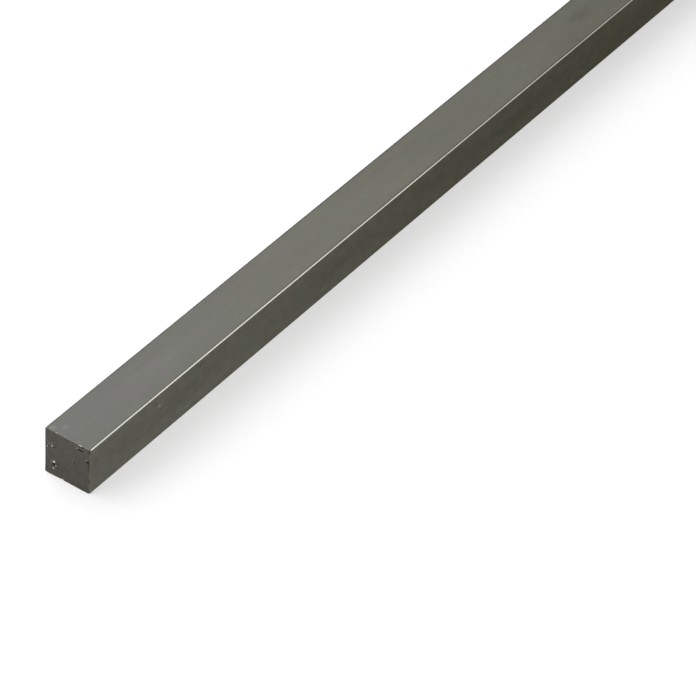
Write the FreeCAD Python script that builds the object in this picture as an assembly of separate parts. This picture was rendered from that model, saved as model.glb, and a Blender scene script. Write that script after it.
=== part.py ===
import FreeCAD, Part
import math
import os

# Solid square bar of drawn aluminium, one piece of raw stock.
# The bar lies on one of its long faces. +X runs along the bar, +Z is up,
# and the origin is the middle of the face that it lies on.
# All lengths are in millimetres.

SIDE = 12.0          # across the flats, the same both ways
LENGTH = 1000.0      # the length the stock is sold in
ARRIS_RADIUS = 0.35  # round of the four long edges, left by the drawing die
END_BREAK = 0.15     # width of the bevel filed round each sawn end
END_BREAK_RUN = 0.2  # length of that bevel along the bar

OUT = "parts"
QUARTER_TURNS = 4


def section_wire(x, side, radius):
    """Outline of the bar in the plane at x: four flats joined by quarter rounds."""
    middle = SIDE / 2
    reach = side / 2
    flat = reach - radius
    crown = flat + radius * math.cos(math.pi / 4)
    start = FreeCAD.Vector(x, reach, -flat)
    stop = FreeCAD.Vector(x, reach, flat)
    corner = FreeCAD.Vector(x, crown, crown)
    after = FreeCAD.Vector(x, flat, reach)

    side_and_corner = [
        Part.LineSegment(start, stop).toShape(),
        Part.Arc(stop, corner, after).toShape(),
    ]
    edges = []
    for turn in range(QUARTER_TURNS):
        for edge in side_and_corner:
            copy = edge.copy()
            copy.rotate(FreeCAD.Vector(x, 0, 0), FreeCAD.Vector(1, 0, 0), 90 * turn)
            edges.append(copy)
    wire = Part.Wire(edges)
    wire.translate(FreeCAD.Vector(0, 0, middle))
    return wire


def drawn_length():
    """The bar between its two bevels, as it left the drawing die."""
    start = END_BREAK_RUN - LENGTH / 2
    section = Part.Face(section_wire(start, SIDE, ARRIS_RADIUS))
    return section.extrude(FreeCAD.Vector(LENGTH - 2 * END_BREAK_RUN, 0, 0))


def bevelled_end(toward):
    """The bevel at one sawn end: the whole section tapers in to the saw cut."""
    saw_cut = toward * LENGTH / 2
    shoulder = saw_cut - toward * END_BREAK_RUN
    cut_side = SIDE - 2 * END_BREAK
    cut_radius = ARRIS_RADIUS * cut_side / SIDE
    outlines = [
        section_wire(shoulder, SIDE, ARRIS_RADIUS),
        section_wire(saw_cut, cut_side, cut_radius),
    ]
    return Part.makeLoft(outlines, True, True)


def square_bar():
    """The whole bar, drawn length and both ends as one solid."""
    ends = [bevelled_end(-1), bevelled_end(1)]
    return drawn_length().fuse(ends).removeSplitter()


def main():
    os.makedirs(OUT, exist_ok=True)
    bar = square_bar().Solids[0]
    bar.exportStep(os.path.join(OUT, "square_bar.step"))
    print("square_bar", round(bar.Volume, 1), "mm3, valid", bar.isValid())


main()
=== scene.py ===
"""Dresses a drawn square bar: its worn skin, the finishes of its faces and ends, and its stage."""

import math
import random
from collections import namedtuple

import bpy
from bpy.props import FloatProperty, FloatVectorProperty, IntProperty, PointerProperty
from mathutils import Matrix, Vector, kdtree, noise


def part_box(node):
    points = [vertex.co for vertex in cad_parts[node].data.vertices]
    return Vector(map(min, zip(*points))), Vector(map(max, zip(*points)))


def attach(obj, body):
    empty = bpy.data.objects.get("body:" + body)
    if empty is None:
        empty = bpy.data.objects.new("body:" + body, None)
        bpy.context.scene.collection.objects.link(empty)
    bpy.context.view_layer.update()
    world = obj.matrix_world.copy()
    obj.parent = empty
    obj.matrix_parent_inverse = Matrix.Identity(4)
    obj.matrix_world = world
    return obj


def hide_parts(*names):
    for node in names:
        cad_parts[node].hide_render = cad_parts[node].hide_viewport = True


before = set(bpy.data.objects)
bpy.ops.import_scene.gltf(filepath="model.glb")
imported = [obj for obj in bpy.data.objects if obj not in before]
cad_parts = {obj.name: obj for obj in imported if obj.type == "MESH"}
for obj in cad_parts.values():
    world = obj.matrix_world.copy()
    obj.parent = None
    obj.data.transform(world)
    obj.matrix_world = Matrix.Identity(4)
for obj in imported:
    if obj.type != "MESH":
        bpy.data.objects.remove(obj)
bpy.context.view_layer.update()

bl_info = {
    "name": "Drawn Square Bar",
    "version": (1, 0, 0),
    "blender": (4, 5, 0),
    "location": "3D View > Sidebar > Square Bar",
    "description": "Builds a drawn square bar with sawn ends and the stage that it is shown on",
    "category": "Add Mesh",
}

NODE = "square_bar"
BODY = "root"
BAR_LOW, BAR_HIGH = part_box(NODE)
MM = 0.001


def add_object(name, data):
    """Adds an object that shows the data to the scene."""
    thing = bpy.data.objects.new(name, data)
    bpy.context.scene.collection.objects.link(thing)
    return thing


# What a user may change

class BarSizes(bpy.types.PropertyGroup):
    """Sizes of the bar, and of what the drawing die, the saw and the file leave on its edges."""

    side: FloatProperty(
        name="Side", description="Size across the flats, the same both ways",
        default=BAR_HIGH.z - BAR_LOW.z, min=2 * MM, precision=4, unit="LENGTH")
    length: FloatProperty(
        name="Length", description="Length over the highest burrs of the two sawn ends",
        default=BAR_HIGH.x - BAR_LOW.x, min=20 * MM, precision=4, unit="LENGTH")
    arris_radius: FloatProperty(
        name="Arris Radius", description="Round of the four long edges",
        default=0.35 * MM, min=0.05 * MM, precision=5, unit="LENGTH")
    bevel_width: FloatProperty(
        name="Bevel Width", description="Width of the filed bevel, measured across the sawn end",
        default=0.15 * MM, min=0.05 * MM, precision=5, unit="LENGTH")
    bevel_run: FloatProperty(
        name="Bevel Run", description="Length of the filed bevel along the bar",
        default=0.2 * MM, min=0.05 * MM, precision=5, unit="LENGTH")
    burr_height: FloatProperty(
        name="Burr Height", description="How far the highest burrs stand out of a sawn end",
        default=0.1 * MM, min=0.01 * MM, precision=5, unit="LENGTH")
    cut_lean: FloatProperty(
        name="Cut Lean",
        description="How far out of square a saw cut leaves the corners of a sawn end",
        default=0.2 * MM, min=0.0, precision=5, unit="LENGTH")


class BarWear(bpy.types.PropertyGroup):
    """How much handling the bar shows."""

    nicks: IntProperty(
        name="Nicks", description="Small knocks along the four long edges", default=60, min=0)
    nick_depth: FloatProperty(
        name="Nick Depth", description="Depth of the deepest nick in a long edge",
        default=0.08 * MM, min=0.0, precision=5, unit="LENGTH")
    dents: IntProperty(
        name="Dents", description="Shallow round dents in the long faces", default=5, min=0)
    dent_depth: FloatProperty(
        name="Dent Depth", description="Depth of the deepest dent in a long face",
        default=0.05 * MM, min=0.0, precision=5, unit="LENGTH")
    specks: IntProperty(
        name="Specks", description="Small pits and burrs that the saw leaves in each end",
        default=34, min=0)
    seed: IntProperty(
        name="Seed", description="Changes where the marks fall", default=11, min=0)


class BarFinish(bpy.types.PropertyGroup):
    """Colours and polish of the drawn faces and the sawn ends."""

    metal: FloatVectorProperty(
        name="Drawn Metal", description="Colour of the drawn faces",
        default=(0.139, 0.1395, 0.12), min=0.0, max=1.0, subtype="COLOR")
    roughness: FloatProperty(
        name="Drawn Roughness", description="Roughness of the drawn faces",
        default=0.3, min=0.0, max=1.0, subtype="FACTOR")
    # This colour also paints the highlight along the top front edge.
    rubbed_and_highlight_metal: FloatVectorProperty(
        name="Rubbed Metal",
        description="Colour of the metal that wear lays bare on edges and burrs",
        default=(0.78, 0.775, 0.705), min=0.0, max=1.0, subtype="COLOR")
    rubbed_roughness: FloatProperty(
        name="Rubbed Roughness", description="Roughness of the metal that wear lays bare",
        default=0.3, min=0.0, max=1.0, subtype="FACTOR")
    sawn_metal: FloatVectorProperty(
        name="Sawn Metal", description="Colour of the sawn ends",
        default=(0.091, 0.088, 0.077), min=0.0, max=1.0, subtype="COLOR")
    sawn_roughness: FloatProperty(
        name="Sawn Roughness", description="Roughness of the sawn ends",
        default=0.45, min=0.0, max=1.0, subtype="FACTOR")


class StageLook(bpy.types.PropertyGroup):
    """The floor, the light and the camera."""

    floor_colour: FloatVectorProperty(
        name="Floor", description="Colour of the floor",
        default=(0.65, 0.65, 0.65), min=0.0, max=1.0, subtype="COLOR")
    floor_side: FloatProperty(
        name="Floor Side", description="Length of each side of the floor",
        default=24.0, min=1.0, unit="LENGTH")
    floor_glow: FloatProperty(
        name="Floor Glow", description="White that the floor adds where it is seen or mirrored",
        default=0.51, min=0.0)
    back_room: FloatProperty(
        name="Room Behind",
        description="Soft light from the half of the room behind the bar, where 1 is white",
        default=1.9, min=0.0)
    front_room: FloatProperty(
        name="Room In Front",
        description="Soft light from the half of the room before the bar, where 1 is white",
        default=0.35, min=0.0)
    top_light: FloatProperty(
        name="Top Softbox",
        description="Brightness of the softbox that the top face mirrors, where 1 is white",
        default=0.25, min=0.0)
    end_light: FloatProperty(
        name="End Softbox",
        description="Brightness of the softbox that the burrs of the near end mirror",
        default=4.0, min=0.0)
    front_light: FloatProperty(
        name="Front Softbox",
        description="Brightness of the small softbox that fills in before the near end",
        default=1.2, min=0.0)
    camera_offset: FloatVectorProperty(
        name="Camera Offset", description="Place of the camera from the foot of the near end",
        default=(-0.438054, -0.346740, 0.493554), precision=4,
        subtype="TRANSLATION", unit="LENGTH")
    heading: FloatProperty(
        name="Heading", description="How far the camera looks to the left of the bar's length",
        default=math.radians(32.534), unit="ROTATION")
    tilt: FloatProperty(
        name="Tilt", description="How far the camera looks down",
        default=math.radians(39.140), unit="ROTATION")
    roll: FloatProperty(
        name="Roll", description="How far the camera leans anticlockwise",
        default=math.radians(3.749), unit="ROTATION")
    lens: FloatProperty(
        name="Lens", description="Focal length on a 36 mm sensor",
        default=184.206, min=1.0, unit="CAMERA")


# Marks of handling and of the saw

SIDES = 4
BACK, TOP, FRONT, BOTTOM = range(SIDES)   # in the order in which a ring goes round the bar

EndMark = namedtuple("EndMark", "across up wide high depth turn")
Dent = namedtuple("Dent", "x side along radius depth")
Nick = namedtuple("Nick", "x arris reach depth")
Stain = namedtuple("Stain", "middle reach strength")

# Marks on the near end, in millimetres. Across counts from the middle towards the back, and up
# from the floor. Wide and high are half of the mark's size, a depth below 0 stands out, and turn
# is in degrees.
NEAR_END_MARKS = [
    EndMark(3.7, 3.0, 0.90, 0.95, -0.055, 0),         # raised rim of the round pit
    EndMark(3.5, 3.9, 0.55, 0.40, -0.150, 0),
    EndMark(3.0, 3.0, 0.26, 0.55, -0.090, 0),
    EndMark(3.6, 2.1, 0.60, 0.26, -0.090, 0),
    EndMark(3.6, 2.9, 0.50, 0.50, 0.360, 0),          # round pit
    EndMark(3.6, 2.9, 0.20, 0.20, -0.150, 0),         # tip left standing in it
    EndMark(2.8, 3.5, 0.20, 0.18, 0.180, 0),
    EndMark(2.8, 2.6, 0.20, 0.18, 0.180, 0),
    EndMark(4.4, 3.5, 0.85, 0.16, -0.055, 28),        # scratch to the back of the pit
    EndMark(4.1, 8.6, 0.40, 0.36, -0.095, 0),         # torn corner of the cut, upper back
    EndMark(4.1, 7.9, 0.45, 0.38, -0.100, 0),
    EndMark(4.9, 8.1, 0.38, 0.32, -0.075, 0),
    EndMark(4.4, 9.2, 0.36, 0.26, -0.080, 0),
    EndMark(4.7, 8.8, 0.20, 0.24, 0.240, 0),
    EndMark(3.9, 9.3, 0.20, 0.24, 0.240, 0),
    EndMark(4.5, 8.5, 0.26, 0.22, 0.200, 0),
    EndMark(4.7, 7.9, 0.24, 0.24, 0.200, 0),
    EndMark(3.6, 7.6, 0.30, 0.24, 0.240, 0),
    EndMark(3.1, 9.6, 0.20, 0.22, 0.160, 0),
    EndMark(5.3, 8.7, 0.28, 0.28, -0.110, 0),         # burrs on the back edge
    EndMark(5.3, 7.2, 0.20, 0.60, -0.080, 0),
    EndMark(-3.3, 10.4, 1.00, 0.30, 0.340, -8),       # gouges below the top edge
    EndMark(-3.5, 11.4, 0.85, 0.24, 0.280, -8),
    EndMark(-2.5, 10.8, 0.26, 0.26, -0.090, 0),
    EndMark(-3.4, 11.9, 0.95, 0.30, -0.160, 0),       # burrs on the top edge
    EndMark(3.1, 12.0, 0.50, 0.26, -0.140, 0),
    EndMark(-4.1, 11.0, 0.30, 0.18, -0.060, 0),
    EndMark(-1.8, 6.3, 0.20, 0.34, 0.170, 0),         # nick of one saw tooth
    EndMark(-1.3, 6.6, 0.20, 0.24, -0.070, 0),
    EndMark(-2.2, 7.1, 0.20, 0.24, -0.070, 0),
    EndMark(-5.2, 8.2, 0.40, 0.40, 0.340, 0),         # pit near the front edge, with a raised lip
    EndMark(-5.0, 8.8, 0.40, 0.22, -0.085, 0),
    EndMark(-5.6, 6.9, 0.22, 2.50, 0.075, 0),         # groove along the front edge
    EndMark(-5.7, 11.2, 0.28, 0.70, 0.200, 8),
    EndMark(-6.0, 3.4, 0.30, 0.60, 0.300, 0),
    EndMark(-2.8, 1.6, 0.70, 0.20, 0.120, 30),        # scuff, lower front
    EndMark(-3.7, 2.2, 0.45, 0.22, -0.060, 0),
    EndMark(-4.4, 2.1, 0.30, 0.20, -0.070, 0),
    EndMark(-2.1, 1.1, 0.36, 0.22, -0.055, 0),
    EndMark(-3.2, 0.7, 0.36, 0.18, -0.060, 0),
    EndMark(1.3, 0.1, 0.40, 0.34, 0.240, 0),          # chip in the bottom edge
    EndMark(-5.9, 9.0, 0.24, 0.34, 0.160, 0),         # chip in the front edge
    EndMark(3.7, 12.0, 0.50, 0.20, 0.120, 0),         # chip in the top edge
]

# Small knocks in the long faces close to the near end, in millimetres. X counts from that end.
NEAR_DENTS = [
    Dent(23.8, FRONT, -2.4, 0.50, 0.05),
    Dent(2.2, TOP, -4.1, 0.40, 0.04),
    Dent(3.4, TOP, -5.0, 0.34, 0.03),
]

# Patches of the long faces that are rubbed lighter or stained darker, in millimetres from the
# foot of the near end. The strength is the share of light that they add or take.
FACE_STAINS = [
    Stain((1.3, 4.5, 12.0), (1.0, 0.8, 1.0), 0.26),
    Stain((2.9, 2.7, 12.0), (1.5, 0.7, 1.0), 0.2),
    Stain((201.5, 0.7, 12.0), (5.5, 2.2, 1.0), -0.14),
    Stain((208.0, 0.6, 12.0), (4.0, 1.2, 1.0), -0.04),
    Stain((191.0, -4.4, 12.0), (2.2, 0.9, 1.0), -0.08),
    Stain((23.8, -6.0, 8.38), (0.8, 1.0, 0.5), 0.55),
    Stain((22.4, -6.0, 9.9), (0.9, 1.0, 0.4), -0.2),
]

FAR_END_MARKS = 9                     # large marks of the far end, which fall by chance
FAR_END_DEPTHS = [-0.09, 0.14, 0.24]   # in millimetres
SPECK_DEPTHS = [-0.05, 0.05, 0.08]

LEAN_UP, LEAN_ACROSS = -0.62, 0.38     # how the lean of a saw cut is shared out over its end
RAG_SIZE = 0.35 * MM                   # size of the wanders in a patch's outline
RAG_ROOM = 1.4                         # how far out an outline may wander, in its radii

ALONG = Vector((1, 0, 0))              # the way in which the bar was drawn


def saw_cut(sizes):
    """Distance from the middle of the bar to the middle of a saw cut."""
    return sizes.length / 2 - sizes.burr_height - sizes.cut_lean


def lean_of_cut(sizes, toward, across, up):
    """How far the lean of a saw cut makes a place on the end stand out.

    Across and up count from the middle of the end, and are 1 at its back and top edges.
    """
    return sizes.cut_lean * (LEAN_UP * up + LEAN_ACROSS * toward * across)


def section_place(side, along, out):
    """Place across the bar of a point that lies along and out on one of the four sides."""
    y, z = out, along
    for _ in range(side):
        y, z = -z, y
    return y, z


class Patch:
    """An ellipsoid of the bar's skin that a knock or a burr has changed.

    The last of its directions is the way into the metal.
    """

    rag = 0.0   # how far its outline wanders, as a share

    def __init__(self, centre, directions, radii):
        self.centre = centre
        self.way = directions[-1]
        self.reach = max(radii)
        self.depth = radii[-1]
        self.into = Matrix([direction / radius for direction, radius in zip(directions, radii)])

    def place(self, point):
        """Where the point lies in the patch, in radii."""
        ragged = 1 + self.rag * noise.noise(point / RAG_SIZE)
        return self.into @ (point - self.centre) * ragged


class Hollow(Patch):
    """A bite out of the metal: what lies inside is pressed on to the far wall."""

    rag = 0.3

    def moved(self, point):
        across, up, deep = self.place(point)
        left = 1 - across * across - up * up
        if left <= 0 or left <= deep * deep:
            return point
        return point + self.way * self.depth * (math.sqrt(left) - deep)


class Swell(Patch):
    """A soft rise or dip of a given depth, where a depth below 0 rises."""

    rag = 0.15

    def __init__(self, centre, directions, radii, dip):
        super().__init__(centre, directions, radii)
        self.dip = dip

    def moved(self, point):
        left = 1 - self.place(point).length_squared
        if left <= 0:
            return point
        return point + self.way * self.dip * left * left


def end_patch(mark, sawn, toward):
    """The patch for a mark on the sawn end that lies toward -X or +X."""
    spin = Matrix.Rotation(math.radians(mark.turn), 3, "X")
    directions = [spin @ Vector((0, 1, 0)), spin @ Vector((0, 0, 1)), Vector((-toward, 0, 0))]
    centre = Vector((toward * sawn, mark.across * MM, mark.up * MM))
    wide, high, depth = mark.wide * MM, mark.high * MM, mark.depth * MM
    if depth > 0:
        return Hollow(centre, directions, [wide, high, depth])
    return Swell(centre, directions, [wide, high, max(wide, high)], depth)


def place_on_end(dice, half_mm, share):
    """A place by chance on a sawn end, across and up, within a share of its size."""
    across = dice.uniform(-share, share) * half_mm
    up = half_mm + dice.uniform(-share, share) * half_mm
    return across, up


def end_marks(dice, wear, half_mm, toward):
    """Marks of one sawn end, in millimetres: the large ones, then specks of the saw's teeth."""
    marks = []
    if toward < 0:
        marks.extend(NEAR_END_MARKS)
    else:
        for _ in range(FAR_END_MARKS):
            across, up = place_on_end(dice, half_mm, 0.95)
            wide = dice.uniform(0.2, 0.6)
            high = dice.uniform(0.2, 0.4)
            depth = dice.choice(FAR_END_DEPTHS)
            marks.append(EndMark(across, up, wide, high, depth, dice.uniform(-30, 30)))
    for _ in range(wear.specks):
        across, up = place_on_end(dice, half_mm, 0.97)
        size = dice.uniform(0.13, 0.26)
        depth = dice.choice(SPECK_DEPTHS)
        marks.append(EndMark(across, up, size, size * dice.uniform(0.7, 1.4), depth, 0))
    return marks


def dent_patch(dent, half):
    """The patch for a dent in a long face."""
    y, z = section_place(dent.side, dent.along * MM, half)
    way = Vector((0, *section_place(dent.side, 0, -1)))
    radius = dent.radius * MM
    centre = Vector((dent.x, y, z + half))
    return Swell(centre, [ALONG, ALONG.cross(way), way], [radius] * 3, dent.depth * MM)


def nick_patch(nick, half, arris_radius):
    """The patch for a nick in a long edge. The tool that struck it was a blunt round one."""
    blunt = 0.7 * MM
    way = Vector((0, *section_place(nick.arris, -1, -1))).normalized()
    crown = math.hypot(half, half) - arris_radius * (math.sqrt(2) - 1)
    centre = Vector((nick.x, 0, half)) - way * (crown + blunt - nick.depth)
    return Hollow(centre, [ALONG, ALONG.cross(way), way], [nick.reach, blunt, blunt])


def scatter_dents(dice, wear, length):
    """The dents close to the near end, and a few more anywhere.

    Their x now counts from the bar's middle in metres. The rest stays in millimetres.
    """
    dents = [dent._replace(x=dent.x * MM - length / 2) for dent in NEAR_DENTS]
    for _ in range(wear.dents):
        x = dice.uniform(-0.46, 0.46) * length
        side = dice.choice([BACK, TOP, FRONT])
        depth = wear.dent_depth * dice.uniform(0.5, 1) / MM
        along = dice.uniform(-4.5, 4.5)
        radius = dice.uniform(0.5, 1.1)
        dents.append(Dent(x, side, along, radius, depth))
    return dents


def scatter_nicks(dice, wear, length):
    """Nicks along the four long edges, in metres."""
    nicks = []
    for number in range(wear.nicks):
        x = dice.uniform(-0.495, 0.495) * length
        reach = dice.uniform(0.3, 1.3) * MM
        depth = wear.nick_depth * dice.uniform(0.3, 1)
        nicks.append(Nick(x, number % SIDES, reach, depth))
    return nicks


# Skin of the bar

Detail = namedtuple("Detail", "flat_steps arris_steps")
FINE = Detail(90, 6)      # the first 1.5 mm at each end, and round a dent
COARSE = Detail(6, 6)     # everywhere else

EDGE_STEP = 0.06 * MM     # narrow first step of each flat, which keeps the flats shaded flat
BEVEL_STEPS = 3
FINE_STEP = 0.14 * MM
FINE_STEPS = 9
COARSE_STEP = 12.5 * MM
LEAST_STEP = 0.03 * MM    # rings that fall closer together than this become one
DENT_STEPS = 5            # rings on each side of a dent's middle
DENT_ROOM = 1.01          # a ring within this many radii of a dent's middle is a fine one
NICK_STEPS = 3

Stop = namedtuple("Stop", "vertex turn")
Ring = namedtuple("Ring", "x stops")
Station = namedtuple("Station", "x inset detail")
SQUARE = [(0, 0), (1, 0), (1, 1), (0, 1)]   # corners of a square, in order round it

# Slight wanders that a file and a saw leave: how far they go in metres, and how long they are in
# millimetres
Wander = namedtuple("Wander", "reach size")
FILED_WANDER = Wander(0.1 * MM, 1.1)
SAWN_WAVE = Wander(0.025 * MM, 2.3)
SAWN_RIPPLE = Wander(0.012 * MM, 0.5)
RIM_POWER = 4             # the higher, the closer the file's wander keeps to the rim of an end
ENDS_APART = 7            # makes the wanders of the two ends differ

DRAWN, SAWN = range(2)    # material slots of the bar
MAP_LENGTHS = 4           # the skin lies on its map in this many lengths, one above the other
MAP_EDGE = 0.012          # bare rim of the map
MAP_GAP = 0.006           # bare strip between two lengths
MAP_END_FOOT = 0.785      # the sawn ends lie above the lengths, from this height up
MAP_END_SIDE = 0.2
MAP_END_MIDDLES = {-1: 0.5, 1: 1.6}   # of the near and the far end, from the rim, in ends


def wander(kind, seed):
    """How far a wander goes at a place, which is given in millimetres."""
    return kind.reach * noise.noise(seed / kind.size)


def side_places(flat, radius, detail):
    """Points along one side of the section, from the middle of one arris to short of the next.

    Each is given by its distance along the side from the side's middle, its distance out from
    the bar's axis, and the share of the side that lies behind it.
    """
    half_steps = detail.arris_steps // 2
    half_arc = radius * math.pi / 4
    whole = 2 * (half_arc + flat)
    angles = [math.pi / 4 * step / half_steps for step in range(half_steps + 1)]
    inner = flat - EDGE_STEP
    even_steps = detail.flat_steps - 2   # between the two narrow ones
    spots = [-flat, *(inner * (2 * step / even_steps - 1) for step in range(even_steps + 1)), flat]
    places = []
    for angle in reversed(angles[1:]):
        along = -flat - radius * math.sin(angle)
        out = flat + radius * math.cos(angle)
        places.append((along, out, (half_arc - radius * angle) / whole))
    for spot in spots:
        places.append((spot, flat + radius, (half_arc + flat + spot) / whole))
    for angle in angles[1:-1]:
        along = flat + radius * math.sin(angle)
        out = flat + radius * math.cos(angle)
        places.append((along, out, (whole - half_arc + radius * angle) / whole))
    return places


class BarSkin:
    """The bar's surface: rings of points along it, and a grid of points over each sawn end."""

    def __init__(self, sizes):
        self.sizes = sizes
        self.half = sizes.side / 2
        self.sawn = saw_cut(sizes)
        self.points = []
        self.faces = []
        self.map_places = []
        self.slots = []

    def section(self, inset):
        """Half width of the flats and radius of the arrises, in a section drawn in by inset."""
        shrink = (self.half - inset) / self.half
        return (self.half - self.sizes.arris_radius) * shrink, self.sizes.arris_radius * shrink

    def add_point(self, x, y, z):
        """Adds a point, whose y and z count from the bar's axis."""
        self.points.append(Vector((x, y, z + self.half)))
        return len(self.points) - 1

    def add_face(self, corners, slot):
        """Adds a face from its corners, each a point's number and its place on the map."""
        self.faces.append([number for number, _ in corners])
        self.map_places.extend(place for _, place in corners)
        self.slots.append(slot)

    def add_ring(self, station):
        """Adds the points of one section. The ring ends on the point that it starts from."""
        places = side_places(*self.section(station.inset), station.detail)
        stops = []
        for side in range(SIDES):
            for along, out, share in places:
                y, z = section_place(side, along, out)
                stops.append(Stop(self.add_point(station.x, y, z), side + share))
        stops.append(Stop(stops[0].vertex, SIDES))
        return Ring(station.x, stops)

    def skin_map(self, x, turn, row):
        """Place on the map of a point of the skin, in the length of a given row."""
        scale = (1 - 2 * MAP_EDGE) * MAP_LENGTHS / self.sizes.length
        start = self.sizes.length * (row / MAP_LENGTHS - 0.5)
        flat, radius = self.section(0)
        side = (2 * flat + radius * math.pi / 2) * scale
        foot = MAP_EDGE + row * (SIDES * side + MAP_GAP)
        return MAP_EDGE + (x - start) * scale, foot + turn * side

    def end_map(self, y, z, toward):
        """Place on the map of a point of a sawn end."""
        middle = MAP_EDGE + MAP_END_SIDE * MAP_END_MIDDLES[toward]
        scale = MAP_END_SIDE / self.sizes.side
        return middle + y * scale, MAP_END_FOOT + MAP_END_SIDE / 2 + z * scale

    def join(self, near, far):
        """Fills the band between two rings. Where their steps differ, the one behind moves on."""
        middle = (near.x + far.x) / 2
        row = min(int((middle / self.sizes.length + 0.5) * MAP_LENGTHS), MAP_LENGTHS - 1)
        here = there = 0
        last_here, last_there = len(near.stops) - 1, len(far.stops) - 1
        while here < last_here or there < last_there:
            if last_here == last_there:
                corners = [(near, here), (near, here + 1), (far, there + 1), (far, there)]
                here += 1
                there += 1
            elif there == last_there or (
                    here < last_here and near.stops[here + 1].turn <= far.stops[there + 1].turn):
                corners = [(near, here), (near, here + 1), (far, there)]
                here += 1
            else:
                corners = [(near, here), (far, there + 1), (far, there)]
                there += 1
            places = []
            for ring, step in corners:
                stop = ring.stops[step]
                places.append((stop.vertex, self.skin_map(ring.x, stop.turn, row)))
            self.add_face(places, DRAWN)

    def close_end(self, ring, station, toward):
        """Lays a square grid over a sawn end, out to the ring round it."""
        places = side_places(*self.section(station.inset), station.detail)
        lines = [along for along, _, _ in places]
        steps = len(lines)
        lines.append(-lines[0])
        grid = {}
        for number, stop in enumerate(ring.stops[:-1]):
            side, step = divmod(number, steps)
            cell = [(steps, step), (steps - step, steps), (0, steps - step), (step, 0)][side]
            grid[cell] = stop.vertex
        for row in range(1, steps):
            for column in range(1, steps):
                grid[column, row] = self.add_point(ring.x, lines[column], lines[row])
        for row in range(steps):
            for column in range(steps):
                corners = []
                for right, above in SQUARE:
                    cell = (column + right, row + above)
                    place = self.end_map(lines[cell[0]], lines[cell[1]], toward)
                    corners.append((grid[cell], place))
                self.add_face(corners[::toward], SAWN)

    def end_stations(self, toward):
        """Rings of one end, from the saw cut inwards."""
        stations = []
        for step in range(BEVEL_STEPS + 1):
            share = step / BEVEL_STEPS
            x = toward * (self.sawn - share * self.sizes.bevel_run)
            stations.append(Station(x, (1 - share) * self.sizes.bevel_width, FINE))
        for step in range(FINE_STEPS):
            x = toward * (self.sawn - self.sizes.bevel_run - (step + 1) * FINE_STEP)
            stations.append(Station(x, 0.0, FINE))
        return stations

    def middle_stations(self, dents, nicks):
        """Rings between the two ends: even ones, and closer ones at dents and nicks."""
        spots = []
        for dent in dents:
            for step in range(-DENT_STEPS, DENT_STEPS + 1):
                spots.append(dent.x + dent.radius * MM * step / DENT_STEPS)
        for nick in nicks:
            for step in range(-NICK_STEPS, NICK_STEPS + 1):
                spots.append(nick.x + nick.reach * step / NICK_STEPS)
        count = round(self.sizes.length / COARSE_STEP)
        spots.extend(self.sizes.length * (step / count - 0.5) for step in range(1, count))
        limit = self.sawn - self.sizes.bevel_run - (FINE_STEPS + 1) * FINE_STEP
        places = {round(spot / LEAST_STEP): spot for spot in spots if abs(spot) < limit}
        stations = []
        for x in sorted(places.values()):
            dented = any(abs(x - dent.x) <= dent.radius * MM * DENT_ROOM for dent in dents)
            stations.append(Station(x, 0.0, FINE if dented else COARSE))
        return stations

    def build(self, dents, nicks):
        """Lays the whole skin, still unworn."""
        near, far = self.end_stations(-1), self.end_stations(1)
        stations = [*near, *self.middle_stations(dents, nicks), *reversed(far)]
        rings = [self.add_ring(station) for station in stations]
        for here, there in zip(rings, rings[1:]):
            self.join(here, there)
        self.close_end(rings[0], stations[0], -1)
        self.close_end(rings[-1], stations[-1], 1)

    def roughen_ends(self):
        """Lets the sawn ends and their bevels wander a little, as a saw and a file leave them."""
        shoulder = self.sawn - self.sizes.bevel_run
        for number, point in enumerate(self.points):
            share = (abs(point.x) - shoulder) / self.sizes.bevel_run
            if share <= 0:
                continue
            toward = math.copysign(1, point.x)
            across = Vector((0, point.y, point.z - self.half))
            edge = (max(abs(across.y), abs(across.z)) / self.half) ** RIM_POWER
            seed = Vector((toward * ENDS_APART, across.y / MM, across.z / MM))
            filed = wander(FILED_WANDER, seed) * edge * share
            wave = wander(SAWN_WAVE, seed) + wander(SAWN_RIPPLE, seed)
            wave += lean_of_cut(self.sizes, toward, across.y / self.half, across.z / self.half)
            out = Vector((toward, 0, 0)) * wave * share
            self.points[number] = point + across.normalized() * filed + out

    def wear(self, patches):
        """Presses the patches into the skin, one after another."""
        tree = kdtree.KDTree(len(self.points))
        for number, point in enumerate(self.points):
            tree.insert(point, number)
        tree.balance()
        for patch in patches:
            for _, number, _ in tree.find_range(patch.centre, patch.reach * RAG_ROOM):
                self.points[number] = patch.moved(self.points[number])

    def trim(self):
        """Takes off what stands out past the bar's length."""
        for point in self.points:
            point.x = max(-self.sizes.length / 2, min(point.x, self.sizes.length / 2))

    def piece(self, name, finishes):
        """Makes the mesh object, with its map and its finishes."""
        mesh = bpy.data.meshes.new(name)
        mesh.from_pydata(self.points, [], self.faces, shade_flat=False)
        mesh.polygons.foreach_set("material_index", self.slots)
        chart = mesh.uv_layers.new(name="OFBake")
        chart.uv.foreach_set("vector", [number for place in self.map_places for number in place])
        for finish in finishes:
            mesh.materials.append(finish)
        return add_object(name, mesh)


# Shader maths

class Field:
    """A value that changes over a surface: a node's output. Sums with it add Math nodes."""

    def __init__(self, shader, socket):
        self.shader = shader
        self.socket = socket

    def twin(self, output):
        """Another output of the same node."""
        return Field(self.shader, self.socket.node.outputs[output])

    def __add__(self, other):
        return self.shader.math("ADD", self, other)

    def __sub__(self, other):
        return self.shader.math("SUBTRACT", self, other)

    def __rsub__(self, other):
        return self.shader.math("SUBTRACT", other, self)

    def __mul__(self, other):
        return self.shader.math("MULTIPLY", self, other)

    def __abs__(self):
        return self.shader.math("ABSOLUTE", self)

    __radd__ = __add__
    __rmul__ = __mul__


def swing(grain, reach):
    """A change up and down from 0, by half the reach each way, as a grain goes from 0 to 1."""
    return reach * (grain - 0.5)


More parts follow.
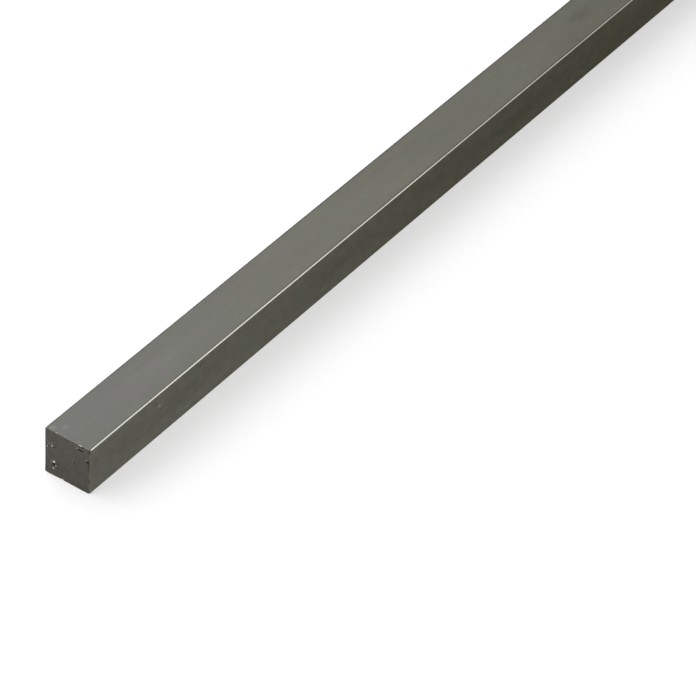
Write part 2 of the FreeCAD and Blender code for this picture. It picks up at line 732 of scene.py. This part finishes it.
# Sockets of a Mix node that is set to colours
COLOUR_FACTOR, COLOUR_FIRST, COLOUR_SECOND = 0, 6, 7
COLOUR_RESULT = 2

SCRATCH_RUN = (0.52, 0.6)   # levels of a grain at which a scratch ends and is whole
STAIN_RAG = 0.9             # how far a stain's edge wanders, in its reaches
STAIN_EDGE = (0.2, 1.1)     # how far out that edge begins and ends


class Shader:
    """A node tree that is being filled."""

    def __init__(self, tree):
        self.tree = tree
        tree.nodes.clear()

    def node(self, kind, settings=None, sockets=None, output=0):
        """Adds a node, sets it, and then fills its sockets with values or links.

        It gives one of the node's outputs, or None where the node has none.
        """
        node = self.tree.nodes.new(kind)
        for name, value in (settings or {}).items():
            setattr(node, name, value)
        for name, value in (sockets or {}).items():
            if isinstance(value, Field):
                self.tree.links.new(value.socket, node.inputs[name])
            else:
                node.inputs[name].default_value = value
        return Field(self, node.outputs[output]) if node.outputs else None

    def math(self, operation, *values):
        """A Math node on the values, in their order."""
        return self.node("ShaderNodeMath", {"operation": operation}, dict(enumerate(values)))

    def vector_math(self, operation, *values, output=0):
        """A Vector Math node on the values, in their order."""
        settings = {"operation": operation}
        return self.node("ShaderNodeVectorMath", settings, dict(enumerate(values)), output)

    def place(self):
        """Place on the bar, in millimetres."""
        metres = self.node("ShaderNodeTexCoord", output="Object")
        return self.node("ShaderNodeVectorMath", {"operation": "SCALE"}, {
            "Vector": metres, "Scale": 1 / MM})

    def parts(self, place):
        """The three parts of a place: along the bar, across it and up."""
        along = self.node("ShaderNodeSeparateXYZ", {}, {0: place})
        return along, along.twin(1), along.twin(2)

    def grain(self, place, size, detail, turn=(0, 0, 0)):
        """Noise from 0 to 1, in patches of a given size in millimetres along, across and up.

        Detail counts the finer grains in it, and turn gives the angles of the patches in degrees.
        """
        patch = self.node("ShaderNodeMapping", {"vector_type": "TEXTURE"}, {
            "Vector": place, "Rotation": [math.radians(angle) for angle in turn], "Scale": size})
        return self.node("ShaderNodeTexNoise", {}, {
            "Vector": patch, "Scale": 1.0, "Detail": detail})

    def fade(self, value, start, stop):
        """0 where the value is below start, 1 where it is above stop, and smooth between them."""
        return self.node("ShaderNodeMapRange", {"interpolation_type": "SMOOTHSTEP"}, {
            "Value": value, "From Min": start, "From Max": stop})

    def blend(self, factor, first, second):
        """The first colour where the factor is 0, the second where it is 1."""
        return self.node("ShaderNodeMix", {"data_type": "RGBA"}, {
            COLOUR_FACTOR: factor, COLOUR_FIRST: first, COLOUR_SECOND: second}, COLOUR_RESULT)

    def shade(self, colour, strength):
        """The colour, changed by a strength or a tint that is 1 for no change."""
        return self.node("ShaderNodeMix", {"data_type": "RGBA", "blend_type": "MULTIPLY"}, {
            COLOUR_FACTOR: 1.0, COLOUR_FIRST: colour, COLOUR_SECOND: strength}, COLOUR_RESULT)

    def scratches(self, place, size, width, turn):
        """Thin broken lines, 1 on a scratch and 0 beside it."""
        line = abs(self.grain(place, size, 1.0, turn) - 0.5)
        run = self.grain(place, [4 * step for step in size], 2.0, turn)
        return (1 - self.fade(line, 0.0, width)) * self.fade(run, *SCRATCH_RUN)

    def stain(self, place, middle, reach):
        """1 in the middle of a patch with a soft and ragged edge, 0 beyond it."""
        away = self.vector_math("SUBTRACT", place, middle)
        away = self.vector_math("DIVIDE", away, reach)
        distance = self.vector_math("LENGTH", away, output="Value")
        ragged = self.grain(place, [step / 2 for step in reach], 2.0)
        return 1 - self.fade(distance + swing(ragged, STAIN_RAG), *STAIN_EDGE)

    def metal(self, colour, roughness, height):
        """Ends the tree in a metal, whose height is in millimetres."""
        normal = self.node("ShaderNodeBump", {}, {
            "Strength": 1.0, "Distance": MM, "Height": height})
        surface = self.node("ShaderNodeBsdfPrincipled", {}, {
            "Base Color": colour, "Metallic": 1.0, "Roughness": roughness,
            "Specular Tint": DULL_EDGE, "Normal": normal})
        self.node("ShaderNodeOutputMaterial", {}, {"Surface": surface})


def opaque(colour):
    """The colour with the fourth value that a node's socket takes."""
    return (*colour, 1.0)


def new_material(name):
    """A material, and the shader that fills it."""
    material = bpy.data.materials.new(name)
    material.use_nodes = True
    return material, Shader(material.node_tree)


# Finishes of the bar

WHITE = (1.0, 1.0, 1.0, 1.0)
DULL_EDGE = (0.4, 0.4, 0.36, 1.0)   # takes back the gleam of clean metal seen at a low angle

# Tints of the dull film on the drawn faces, where 1 is no change
YELLOWED = (1.01, 1.0, 0.965, 1.0)   # where the film is thick
CLEANED = (0.99, 1.0, 1.07, 1.0)     # where it is thin, most of all near the sawn ends
GREENISH = (0.94, 1.035, 0.94, 1.0)  # its two hues, in patches
PINKISH = (1.06, 0.965, 1.06, 1.0)

# Lengths on the drawn faces, in millimetres
END_LIGHT_REACH = 260   # from a sawn end: over this the painted light and the painted highlight of the top front edge fade towards the middle
END_LIGHT_AND_FILM_REACH = 130   # from a sawn end: over this the film thins, and the painted light on the upright faces and the painted highlight grow, towards the end
EDGE_SHIFT = 0.06     # the rubbed band, the painted highlight and the painted shade of a long edge lie this much lower on its upright side
BRIGHT_EDGE_START, BRIGHT_EDGE_STOP = 0.07, 0.2   # where bare metal and the painted highlight begin and are whole, past the flat
EDGE_SHADE_REACH = 0.06                      # of the painted shade on a long edge, to each side of the end of the flat

# Heights over the saw cut at which something begins and is whole, in millimetres
BEVEL = (-0.32, -0.12)
BARE_BURRS = (0.0, 0.06)        # where the drawn face ends in the burrs of the cut
LOW_BURRS = (0.035, 0.07)       # on the sawn end
HIGH_BURRS = (0.08, 0.1)
# painted shade in the pits of a sawn end, from deep to clear
CLEAR_OF_PIT_SHADE = (-0.16, -0.04)

BEVEL_BURRS = (0.56, 0.66)      # levels of a grain at which a burr begins and is whole

# The saw, in millimetres: the middle of its blade from the middle of an end's foot, and the
# distance between two of the arcs that it leaves
SAW_MIDDLE = (0.0, 46.0, -30.0)
TOOTH_PITCH = 0.42


def height_over_cut(shader, sizes, parts):
    """How far a place, given by its three parts in millimetres, stands out of its saw cut."""
    half = sizes.side / 2 / MM
    along, across, up = parts
    toward = shader.math("SIGN", along)
    lean = lean_of_cut(sizes, toward, across * (1 / half), up * (1 / half) - 1) * (1 / MM)
    return abs(along) - saw_cut(sizes) / MM - lean


def drawn_finish(look, sizes):
    """Drawn face: fine lines along the bar, a patchy film, scratches, edges rubbed bright with a
    painted highlight along the top front one, and painted light and shade.
    """
    material, shader = new_material("drawn_metal")
    place = shader.place()
    along, across, up = shader.parts(place)

    fine = shader.grain(place, (48, 0.34, 0.34), 3.0)
    hairline = shader.grain(place, (40, 0.13, 0.13), 1.0)
    broad = shader.grain(place, (320, 1.7, 1.7), 2.0)
    film = shader.grain(place, (38, 7, 7), 4.0)
    mottle = shader.grain(place, (2.4, 1.6, 1.6), 4.0)
    patchy = shader.grain(place, (17, 2, 2), 3.0)
    scratched = shader.scratches(place, (26, 1.1, 1.1), 0.014, (0, 3, -4))
    scuffed = shader.scratches(place, (9, 0.9, 0.9), 0.012, (0, -24, 31))

    # Where the place lies on the bar
    half, half_length = sizes.side / 2 / MM, sizes.length / 2 / MM
    flat, top = half - sizes.arris_radius / MM, 2 * half
    # Painted light that grows from the middle of the bar towards each sawn end.
    painted_end_light = shader.fade(abs(along), half_length - END_LIGHT_REACH, half_length)
    # Thinner film, and more painted light on the upright faces and the top front edge, towards
    # each sawn end.
    end_light_and_thin_film = shader.fade(abs(along), half_length - END_LIGHT_AND_FILM_REACH, half_length)
    off_middle = shader.math("MINIMUM", abs(across) - EDGE_SHIFT, abs(up - half) + EDGE_SHIFT)
    # The top front edge: it gets the painted highlight and little of the painted edge shade.
    front_edge = shader.fade(up - half - across, half, 2 * flat)
    upright = shader.fade(abs(across), flat - 0.3, flat)
    over_cut = height_over_cut(shader, sizes, (along, across, up))
    filed = shader.fade(over_cut + 0.25 * patchy, *BEVEL)

    # Metal laid bare along the edges, with a painted highlight along the top front one that is
    # brightest near the ends; also at the bevel's burrs, and where burrs stand over the cut
    bright_metal = shader.fade(off_middle, flat + BRIGHT_EDGE_START, flat + BRIGHT_EDGE_STOP)
    bright_metal = bright_metal * (0.74 + 0.8 * patchy)
    bright_metal = bright_metal * (0.38 + 0.55 * painted_end_light + 0.17 * end_light_and_thin_film) * (0.12 + 0.88 * front_edge)
    burrs = shader.fade(shader.grain(place, (1.0, 0.9, 0.9), 3.0), *BEVEL_BURRS)
    bare_and_highlight = bright_metal * (1 - 0.8 * filed) + 0.12 * filed * burrs
    bare_and_highlight = bare_and_highlight + 0.5 * shader.fade(over_cut, *BARE_BURRS)

    # Painted light and shade over the film: the top lighter, the upright faces darker and paler
    # low down, the middle of the bar darker than its ends, and painted shade on the long edges and
    # the bevels
    # Painted shade on the filed bevels below the top edge, deepest at the foot.
    below_top = 1 - shader.fade(up, top - 1, top - 0.3)
    at_foot = 1 - shader.fade(up, 0.3, 0.9)
    shaded = filed * (0.25 * below_top + 0.3 * at_foot)
    # Painted shade along the long edges, less on the top front one.
    painted_edge_shade = shader.fade(off_middle, flat - EDGE_SHADE_REACH, flat + EDGE_SHADE_REACH)
    painted_edge_shade = painted_edge_shade * (1 - 0.8 * front_edge)
    # Painted light on the upright faces, paler towards their foot.
    painted_light_at_foot = upright * (1 - shader.fade(up, half / 4, half))
    # Painted light and shade: the top faces lighter, the upright faces darker, and the bar darker
    # towards its middle.
    painted_lighting = 1.2 - upright * (0.3 - 0.16 * end_light_and_thin_film) - 0.25 * (1 - painted_end_light)

    tone = 1 + swing(film, 0.28 + 0.08 * upright) + swing(broad, 0.05) + swing(fine, 0.04)
    tone = tone + swing(hairline, 0.06 + 0.1 * upright) + swing(mottle, 0.1 + 0.3 * upright)
    tone = tone + 0.12 * scratched + 0.16 * scuffed
    tone = tone * painted_lighting * (1 - 0.4 * painted_edge_shade) * (1 - shaded) * (1 + 0.16 * painted_light_at_foot)
    for stain in FACE_STAINS:
        middle = (stain.middle[0] - half_length, *stain.middle[1:])
        tone = tone * (1 + stain.strength * shader.stain(place, middle, stain.reach))

    thin = (0.8 - 0.4 * upright) * end_light_and_thin_film + 0.3 * film - 0.12 * upright
    hue = shader.grain(place, (7, 3.4, 3.4), 3.0, (0, 0, 90))
    tint = shader.blend(thin, YELLOWED, CLEANED)
    tint = shader.shade(tint, shader.blend(hue, GREENISH, PINKISH))
    filmed = shader.shade(shader.shade(opaque(look.metal), tone), tint)
    colour = shader.blend(bare_and_highlight, filmed, opaque(look.rubbed_and_highlight_metal))
    roughness = look.roughness + swing(film, 0.12) + swing(fine, 0.1)
    roughness = roughness + (look.rubbed_roughness - look.roughness) * bare_and_highlight
    height = 0.0014 * hairline + 0.0016 * fine + 0.003 * broad + 0.0016 * mottle
    height = height - 0.0012 * scratched - 0.0016 * scuffed
    shader.metal(colour, roughness, height)
    return material


def sawn_finish(look, sizes):
    """Sawn end: faint arcs of the saw, a torn grain, painted shade in its pits and burrs rubbed
    bright.
    """
    material, shader = new_material("sawn_metal")
    place = shader.place()

    torn = shader.grain(place, (0.5, 0.5, 0.5), 4.0)
    coarse = shader.grain(place, (1.8, 1.8, 1.8), 3.0)
    on_end = shader.vector_math("MULTIPLY", place, (0, 1, 1))
    spoke = shader.vector_math("DISTANCE", on_end, SAW_MIDDLE, output="Value")
    teeth = shader.math("SINE", (spoke + 0.25 * coarse) * (2 * math.pi / TOOTH_PITCH)) * coarse

    over_cut = height_over_cut(shader, sizes, shader.parts(place))
    bright_metal = 0.5 * shader.fade(over_cut, *LOW_BURRS) + 0.5 * shader.fade(over_cut, *HIGH_BURRS)
    # Painted shade: darker where the end lies below its saw cut, in its pits.
    painted_pit_shade = 1 - shader.fade(over_cut, *CLEAR_OF_PIT_SHADE)

    tone = 1 + swing(torn, 0.36) + swing(coarse, 0.5) + 0.09 * teeth
    colour = shader.shade(opaque(look.sawn_metal), tone)
    colour = shader.blend(bright_metal, colour, opaque(look.rubbed_and_highlight_metal))
    colour = shader.shade(colour, 1 - 0.65 * painted_pit_shade)
    roughness = look.sawn_roughness + swing(torn, 0.2)
    roughness = roughness + (look.rubbed_roughness - look.sawn_roughness) * bright_metal
    height = 0.022 * torn + 0.03 * coarse + 0.006 * teeth
    shader.metal(colour, roughness, height)
    return material


# The stage

ROOM_TURN = 0.7   # how far back a direction points where the light from behind is whole

# Lamps, in metres from the foot of the near end. The setting holds the brightness of each.
Softbox = namedtuple("Softbox", "name place target side setting")
SOFTBOXES = [
    Softbox("top_softbox", (0.95, 0.7, 1.05), (0.4, 0, 0), 1.1, "top_light"),
    Softbox("end_softbox", (-1.25, 0.62, 0.56), (0.05, 0, 0), 0.4, "end_light"),
    Softbox("front_softbox", (-0.4, -0.3, 0.3), (0.05, 0, 0), 0.35, "front_light"),
]


def shown_ray(shader):
    """1 for a ray that shows or mirrors a thing, 0 for one that only lights it."""
    ray = shader.node("ShaderNodeLightPath", output="Is Camera Ray")
    shown = ray + ray.twin("Is Glossy Ray") + ray.twin("Is Transmission Ray")
    return shader.math("MINIMUM", shown, 1.0)


def lay_floor(look):
    """A pale floor that keeps the bar's shadow. It lies just under the bar."""
    under = -0.05 * MM
    mesh = bpy.data.meshes.new("floor")
    corners = [((right - 0.5) * look.floor_side, (above - 0.5) * look.floor_side, under)
               for right, above in SQUARE]
    mesh.from_pydata(corners, [], [(0, 1, 2, 3)])

    material, shader = new_material("pale_floor")
    material.cycles.emission_sampling = "NONE"
    matt = shader.node("ShaderNodeBsdfDiffuse", {}, {"Color": opaque(look.floor_colour)})
    glow = shader.node("ShaderNodeEmission", {}, {
        "Color": WHITE, "Strength": look.floor_glow * shown_ray(shader)})
    both = shader.node("ShaderNodeAddShader", {}, {0: matt, 1: glow})
    shader.node("ShaderNodeOutputMaterial", {}, {"Surface": both})
    mesh.materials.append(material)
    return add_object("floor", mesh)


def light_room(look):
    """Soft light, most of it from behind the bar, and white where the room is seen or mirrored."""
    world = bpy.data.worlds.new("room")
    world.use_nodes = True
    world.cycles.sampling_method = "NONE"
    shader = Shader(world.node_tree)
    direction = shader.node("ShaderNodeTexCoord", output="Generated")
    back = shader.node("ShaderNodeSeparateXYZ", {}, {0: direction}, "Y")
    behind = shader.fade(back, 0.0, ROOM_TURN)
    lighting = look.front_room + (look.back_room - look.front_room) * behind
    strength = lighting + (1 - lighting) * shown_ray(shader)
    light = shader.node("ShaderNodeBackground", {}, {"Color": WHITE, "Strength": strength})
    shader.node("ShaderNodeOutputWorld", {}, {"Surface": light})
    bpy.context.scene.world = world


def hang_softbox(softbox, look, foot):
    """A square lamp that faces its target. The camera sees it only in reflections.

    Its energy makes it look white where its brightness is 1.
    """
    side = softbox.side
    place, target = foot + Vector(softbox.place), foot + Vector(softbox.target)
    lamp = bpy.data.lights.new(softbox.name, "AREA")
    lamp.shape = "SQUARE"
    lamp.size = side
    lamp.energy = getattr(look, softbox.setting) * side * side * math.pi
    box = add_object(softbox.name, lamp)
    box.location = place
    box.rotation_euler = (target - place).to_track_quat("-Z", "Y").to_euler()
    box.visible_camera = False


def set_camera(look, foot):
    """The camera, placed from the foot of the near end."""
    lens = bpy.data.cameras.new("camera")
    lens.lens = look.lens
    camera = add_object("camera", lens)
    place = Matrix.Translation(foot + Vector(look.camera_offset))
    heading = Matrix.Rotation(look.heading - math.pi / 2, 4, "Z")
    tilt = Matrix.Rotation(math.pi / 2 - look.tilt, 4, "X")
    roll = Matrix.Rotation(look.roll, 4, "Z")
    camera.matrix_world = place @ heading @ tilt @ roll
    bpy.context.scene.camera = camera


# Operators and panel

class SQUARE_BAR_OT_add_bar(bpy.types.Operator):
    """Adds the drawn bar with its worn skin and its finishes"""

    bl_idname = "square_bar.add_bar"
    bl_label = "Add Bar"

    def execute(self, context):
        scene = context.scene
        sizes, wear, look = scene.square_bar_sizes, scene.square_bar_wear, scene.square_bar_finish
        if sizes.side <= 2 * (sizes.arris_radius + sizes.bevel_width):
            raise RuntimeError("The bar's side leaves no flat between its arrises and bevels")
        half = sizes.side / 2
        dice = random.Random(wear.seed)
        dents = scatter_dents(dice, wear, sizes.length)
        nicks = scatter_nicks(dice, wear, sizes.length)
        skin = BarSkin(sizes)
        skin.build(dents, nicks)
        skin.roughen_ends()
        patches = []
        for toward in (-1, 1):
            for mark in end_marks(dice, wear, half / MM, toward):
                patches.append(end_patch(mark, skin.sawn, toward))
        patches.extend(dent_patch(dent, half) for dent in dents)
        patches.extend(nick_patch(nick, half, sizes.arris_radius) for nick in nicks)
        skin.wear(patches)
        skin.trim()
        bar = skin.piece("drawn_bar", [drawn_finish(look, sizes), sawn_finish(look, sizes)])
        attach(bar, BODY)
        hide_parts(NODE)
        return {"FINISHED"}


class SQUARE_BAR_OT_add_stage(bpy.types.Operator):
    """Adds the floor, the soft light and the camera"""

    bl_idname = "square_bar.add_stage"
    bl_label = "Add Stage"

    def execute(self, context):
        look = context.scene.square_bar_stage
        context.scene.view_settings.view_transform = "Standard"
        foot = Vector((-context.scene.square_bar_sizes.length / 2, 0, 0))
        lay_floor(look)
        light_room(look)
        for softbox in SOFTBOXES:
            hang_softbox(softbox, look, foot)
        set_camera(look, foot)
        return {"FINISHED"}


class SQUARE_BAR_PT_sidebar(bpy.types.Panel):
    """Sizes, wear, finish and stage of the square bar"""

    bl_idname = "SQUARE_BAR_PT_sidebar"
    bl_label = "Square Bar"
    bl_space_type = "VIEW_3D"
    bl_region_type = "UI"
    bl_category = "Square Bar"

    def draw(self, context):
        for operator, groups in PANEL_ROWS:
            for name in groups:
                for setting in GROUPS[name].__annotations__:
                    self.layout.prop(getattr(context.scene, name), setting)
            self.layout.operator(operator.bl_idname)


GROUPS = {
    "square_bar_sizes": BarSizes,
    "square_bar_wear": BarWear,
    "square_bar_finish": BarFinish,
    "square_bar_stage": StageLook,
}
PANEL_ROWS = [
    (SQUARE_BAR_OT_add_bar, ["square_bar_sizes", "square_bar_wear", "square_bar_finish"]),
    (SQUARE_BAR_OT_add_stage, ["square_bar_stage"]),
]
CLASSES = [
    *GROUPS.values(), SQUARE_BAR_OT_add_bar, SQUARE_BAR_OT_add_stage, SQUARE_BAR_PT_sidebar,
]


def register():
    for kind in CLASSES:
        bpy.utils.register_class(kind)
    for name, group in GROUPS.items():
        setattr(bpy.types.Scene, name, PointerProperty(type=group))


def unregister():
    for name in GROUPS:
        delattr(bpy.types.Scene, name)
    for kind in reversed(CLASSES):
        bpy.utils.unregister_class(kind)


def main():
    register()
    bpy.ops.square_bar.add_bar()
    bpy.ops.square_bar.add_stage()


if __name__ == "__main__":
    main()
